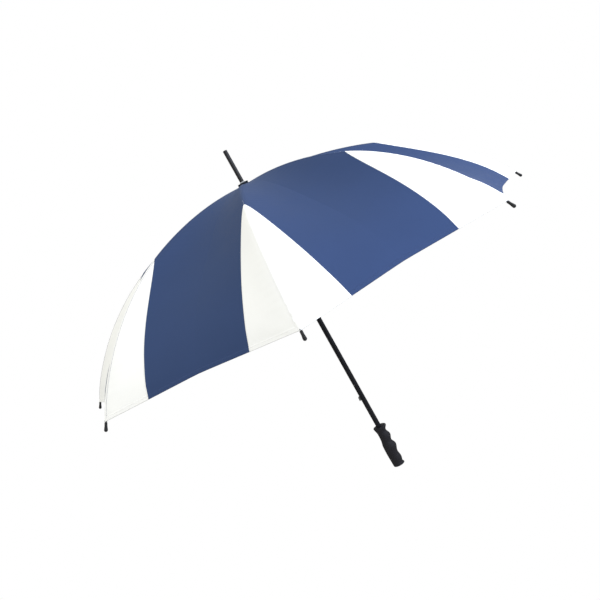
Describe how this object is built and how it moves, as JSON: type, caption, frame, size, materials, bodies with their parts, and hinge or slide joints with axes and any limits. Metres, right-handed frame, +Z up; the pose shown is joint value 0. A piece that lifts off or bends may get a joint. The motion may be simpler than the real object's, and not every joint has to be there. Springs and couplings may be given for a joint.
{
  "type": "golf umbrella",
  "caption": "Open golf umbrella: straight shaft with a finger-grooved handle, folding ribs with stretchers on a sliding runner, and a blue and white canopy.",
  "frame": {"origin": "centre of the handle's flat bottom face", "axes": "+Z up the shaft to the ferrule; -Y along rib 1; +X to the handle's finger grooves"},
  "size_m": [1.3072, 1.3072, 0.98],
  "materials": {
    "shaft": "semi-gloss black glass-fibre tube",
    "handle": "matt black moulded grip",
    "ferrule": "black moulded, slight shine",
    "collar": "bright plated",
    "cap": "dark moulded",
    "notch": "black moulded nylon",
    "wire": "drawn wire",
    "catch": "blackened spring steel",
    "runner": "black moulded nylon",
    "rib": "black glass-fibre rod",
    "joint": "pressed and plated steel",
    "tip": "black moulded",
    "stretcher": "black lacquered steel channel",
    "canopy": "woven polyester, blue with white wedges at the ribs"
  },
  "bodies": {
    "shaft": {"shaft_tube": "shaft", "handle_grip": "handle", "ferrule": "ferrule", "ferrule_collar": "collar", "canopy_cap": "cap", "top_notch": "notch", "notch_wire": "wire", "catch_pins": "wire"},
    "inner_rib_1": {"inner_rib_1": "rib", "rib_joint_1": "joint", "canopy_gore_1": "canopy"},
    "outer_rib_1": {"outer_rib_1": "rib", "rib_tip_1": "tip"},
    "stretcher_1": {"stretcher_1": "stretcher"},
    "inner_rib_2": {"inner_rib_2": "rib", "rib_joint_2": "joint", "canopy_gore_2": "canopy"},
    "outer_rib_2": {"outer_rib_2": "rib", "rib_tip_2": "tip"},
    "stretcher_2": {"stretcher_2": "stretcher"},
    "inner_rib_3": {"inner_rib_3": "rib", "rib_joint_3": "joint", "canopy_gore_3": "canopy"},
    "outer_rib_3": {"outer_rib_3": "rib", "rib_tip_3": "tip"},
    "stretcher_3": {"stretcher_3": "stretcher"},
    "inner_rib_4": {"inner_rib_4": "rib", "rib_joint_4": "joint", "canopy_gore_4": "canopy"},
    "outer_rib_4": {"outer_rib_4": "rib", "rib_tip_4": "tip"},
    "stretcher_4": {"stretcher_4": "stretcher"},
    "inner_rib_5": {"inner_rib_5": "rib", "rib_joint_5": "joint", "canopy_gore_5": "canopy"},
    "outer_rib_5": {"outer_rib_5": "rib", "rib_tip_5": "tip"},
    "stretcher_5": {"stretcher_5": "stretcher"},
    "inner_rib_6": {"inner_rib_6": "rib", "rib_joint_6": "joint", "canopy_gore_6": "canopy"},
    "outer_rib_6": {"outer_rib_6": "rib", "rib_tip_6": "tip"},
    "stretcher_6": {"stretcher_6": "stretcher"},
    "inner_rib_7": {"inner_rib_7": "rib", "rib_joint_7": "joint", "canopy_gore_7": "canopy"},
    "outer_rib_7": {"outer_rib_7": "rib", "rib_tip_7": "tip"},
    "stretcher_7": {"stretcher_7": "stretcher"},
    "inner_rib_8": {"inner_rib_8": "rib", "rib_joint_8": "joint", "canopy_gore_8": "canopy"},
    "outer_rib_8": {"outer_rib_8": "rib", "rib_tip_8": "tip"},
    "stretcher_8": {"stretcher_8": "stretcher"},
    "runner": {"runner": "runner", "runner_wire": "wire"},
    "top_catch": {"top_catch": "catch"},
    "bottom_catch": {"bottom_catch": "catch"}
  },
  "joints": [
    {"name": "rib_1_fold", "type": "hinge", "parent": "shaft", "child": "inner_rib_1", "pos_m": [0, -0.012, 0.8723], "axis": [1, 0, 0], "range_deg": [0, 75.73], "deforming": ["canopy_gore_1", "top_catch", "bottom_catch"]},
    {"name": "stretcher_1_pivot", "type": "hinge", "parent": "inner_rib_1", "child": "stretcher_1", "pos_m": [0, -0.3217, 0.81478], "axis": [1, 0, 0], "range_deg": [-151.46, 0]},
    {"name": "outer_rib_1_flex", "type": "hinge", "parent": "inner_rib_1", "child": "outer_rib_1", "pos_m": [0, -0.3217, 0.81478], "axis": [1, 0, 0], "range_deg": [-23.67, 0]},
    {"name": "rib_2_fold", "type": "hinge", "parent": "shaft", "child": "inner_rib_2", "pos_m": [0.00849, -0.00849, 0.8723], "axis": [0.7071, 0.7071, 0], "range_deg": [0, 75.73], "deforming": ["canopy_gore_2"]},
    {"name": "stretcher_2_pivot", "type": "hinge", "parent": "inner_rib_2", "child": "stretcher_2", "pos_m": [0.22748, -0.22748, 0.81478], "axis": [0.7071, 0.7071, 0], "range_deg": [-151.46, 0]},
    {"name": "outer_rib_2_flex", "type": "hinge", "parent": "inner_rib_2", "child": "outer_rib_2", "pos_m": [0.22748, -0.22748, 0.81478], "axis": [0.7071, 0.7071, 0], "range_deg": [-23.67, 0]},
    {"name": "rib_3_fold", "type": "hinge", "parent": "shaft", "child": "inner_rib_3", "pos_m": [0.012, 0, 0.8723], "axis": [0, 1, 0], "range_deg": [0, 75.73], "deforming": ["canopy_gore_3"]},
    {"name": "stretcher_3_pivot", "type": "hinge", "parent": "inner_rib_3", "child": "stretcher_3", "pos_m": [0.3217, 0, 0.81478], "axis": [0, 1, 0], "range_deg": [-151.46, 0]},
    {"name": "outer_rib_3_flex", "type": "hinge", "parent": "inner_rib_3", "child": "outer_rib_3", "pos_m": [0.3217, 0, 0.81478], "axis": [0, 1, 0], "range_deg": [-23.67, 0]},
    {"name": "rib_4_fold", "type": "hinge", "parent": "shaft", "child": "inner_rib_4", "pos_m": [0.00849, 0.00849, 0.8723], "axis": [-0.7071, 0.7071, 0], "range_deg": [0, 75.73], "deforming": ["canopy_gore_4"]},
    {"name": "stretcher_4_pivot", "type": "hinge", "parent": "inner_rib_4", "child": "stretcher_4", "pos_m": [0.22748, 0.22748, 0.81478], "axis": [-0.7071, 0.7071, 0], "range_deg": [-151.46, 0]},
    {"name": "outer_rib_4_flex", "type": "hinge", "parent": "inner_rib_4", "child": "outer_rib_4", "pos_m": [0.22748, 0.22748, 0.81478], "axis": [-0.7071, 0.7071, 0], "range_deg": [-23.67, 0]},
    {"name": "rib_5_fold", "type": "hinge", "parent": "shaft", "child": "inner_rib_5", "pos_m": [0, 0.012, 0.8723], "axis": [-1, 0, 0], "range_deg": [0, 75.73], "deforming": ["canopy_gore_5"]},
    {"name": "stretcher_5_pivot", "type": "hinge", "parent": "inner_rib_5", "child": "stretcher_5", "pos_m": [0, 0.3217, 0.81478], "axis": [-1, 0, 0], "range_deg": [-151.46, 0]},
    {"name": "outer_rib_5_flex", "type": "hinge", "parent": "inner_rib_5", "child": "outer_rib_5", "pos_m": [0, 0.3217, 0.81478], "axis": [-1, 0, 0], "range_deg": [-23.67, 0]},
    {"name": "rib_6_fold", "type": "hinge", "parent": "shaft", "child": "inner_rib_6", "pos_m": [-0.00849, 0.00849, 0.8723], "axis": [-0.7071, -0.7071, 0], "range_deg": [0, 75.73], "deforming": ["canopy_gore_6"]},
    {"name": "stretcher_6_pivot", "type": "hinge", "parent": "inner_rib_6", "child": "stretcher_6", "pos_m": [-0.22748, 0.22748, 0.81478], "axis": [-0.7071, -0.7071, 0], "range_deg": [-151.46, 0]},
    {"name": "outer_rib_6_flex", "type": "hinge", "parent": "inner_rib_6", "child": "outer_rib_6", "pos_m": [-0.22748, 0.22748, 0.81478], "axis": [-0.7071, -0.7071, 0], "range_deg": [-23.67, 0]},
    {"name": "rib_7_fold", "type": "hinge", "parent": "shaft", "child": "inner_rib_7", "pos_m": [-0.012, 0, 0.8723], "axis": [0, -1, 0], "range_deg": [0, 75.73], "deforming": ["canopy_gore_7"]},
    {"name": "stretcher_7_pivot", "type": "hinge", "parent": "inner_rib_7", "child": "stretcher_7", "pos_m": [-0.3217, 0, 0.81478], "axis": [0, -1, 0], "range_deg": [-151.46, 0]},
    {"name": "outer_rib_7_flex", "type": "hinge", "parent": "inner_rib_7", "child": "outer_rib_7", "pos_m": [-0.3217, 0, 0.81478], "axis": [0, -1, 0], "range_deg": [-23.67, 0]},
    {"name": "rib_8_fold", "type": "hinge", "parent": "shaft", "child": "inner_rib_8", "pos_m": [-0.00849, -0.00849, 0.8723], "axis": [0.7071, -0.7071, 0], "range_deg": [0, 75.73], "deforming": ["canopy_gore_8"]},
    {"name": "stretcher_8_pivot", "type": "hinge", "parent": "inner_rib_8", "child": "stretcher_8", "pos_m": [-0.22748, -0.22748, 0.81478], "axis": [0.7071, -0.7071, 0], "range_deg": [-151.46, 0]},
    {"name": "outer_rib_8_flex", "type": "hinge", "parent": "inner_rib_8", "child": "outer_rib_8", "pos_m": [-0.22748, -0.22748, 0.81478], "axis": [0.7071, -0.7071, 0], "range_deg": [-23.67, 0]},
    {"name": "runner_travel", "type": "hinge", "parent": "stretcher_1", "child": "runner", "pos_m": [0, -0.012, 0.75726], "axis": [1, 0, 0], "range_deg": [0, 75.73]},
    {"name": "top_catch_press", "type": "hinge", "parent": "shaft", "child": "top_catch", "pos_m": [-0.00385, 0, 0.63766], "axis": [0, 1, 0], "range_deg": [0, 8], "stiffness_Nm_per_rad": 1, "springref_deg": -3.44},
    {"name": "bottom_catch_press", "type": "hinge", "parent": "shaft", "child": "bottom_catch", "pos_m": [-0.00385, 0, 0.2615], "axis": [0, -1, 0], "range_deg": [0, 8], "stiffness_Nm_per_rad": 1, "springref_deg": -3.44}
  ],
  "couplings": [
    {"joint": "stretcher_1_pivot", "follows": "rib_1_fold", "ratio": -2},
    {"joint": "outer_rib_1_flex", "follows": "rib_1_fold", "ratio": -0.31256},
    {"joint": "rib_2_fold", "follows": "rib_1_fold", "ratio": 1},
    {"joint": "stretcher_2_pivot", "follows": "rib_1_fold", "ratio": -2},
    {"joint": "outer_rib_2_flex", "follows": "rib_1_fold", "ratio": -0.31256},
    {"joint": "rib_3_fold", "follows": "rib_1_fold", "ratio": 1},
    {"joint": "stretcher_3_pivot", "follows": "rib_1_fold", "ratio": -2},
    {"joint": "outer_rib_3_flex", "follows": "rib_1_fold", "ratio": -0.31256},
    {"joint": "rib_4_fold", "follows": "rib_1_fold", "ratio": 1},
    {"joint": "stretcher_4_pivot", "follows": "rib_1_fold", "ratio": -2},
    {"joint": "outer_rib_4_flex", "follows": "rib_1_fold", "ratio": -0.31256},
    {"joint": "rib_5_fold", "follows": "rib_1_fold", "ratio": 1},
    {"joint": "stretcher_5_pivot", "follows": "rib_1_fold", "ratio": -2},
    {"joint": "outer_rib_5_flex", "follows": "rib_1_fold", "ratio": -0.31256},
    {"joint": "rib_6_fold", "follows": "rib_1_fold", "ratio": 1},
    {"joint": "stretcher_6_pivot", "follows": "rib_1_fold", "ratio": -2},
    {"joint": "outer_rib_6_flex", "follows": "rib_1_fold", "ratio": -0.31256},
    {"joint": "rib_7_fold", "follows": "rib_1_fold", "ratio": 1},
    {"joint": "stretcher_7_pivot", "follows": "rib_1_fold", "ratio": -2},
    {"joint": "outer_rib_7_flex", "follows": "rib_1_fold", "ratio": -0.31256},
    {"joint": "rib_8_fold", "follows": "rib_1_fold", "ratio": 1},
    {"joint": "stretcher_8_pivot", "follows": "rib_1_fold", "ratio": -2},
    {"joint": "outer_rib_8_flex", "follows": "rib_1_fold", "ratio": -0.31256},
    {"joint": "runner_travel", "follows": "rib_1_fold", "ratio": 1}
  ]
}
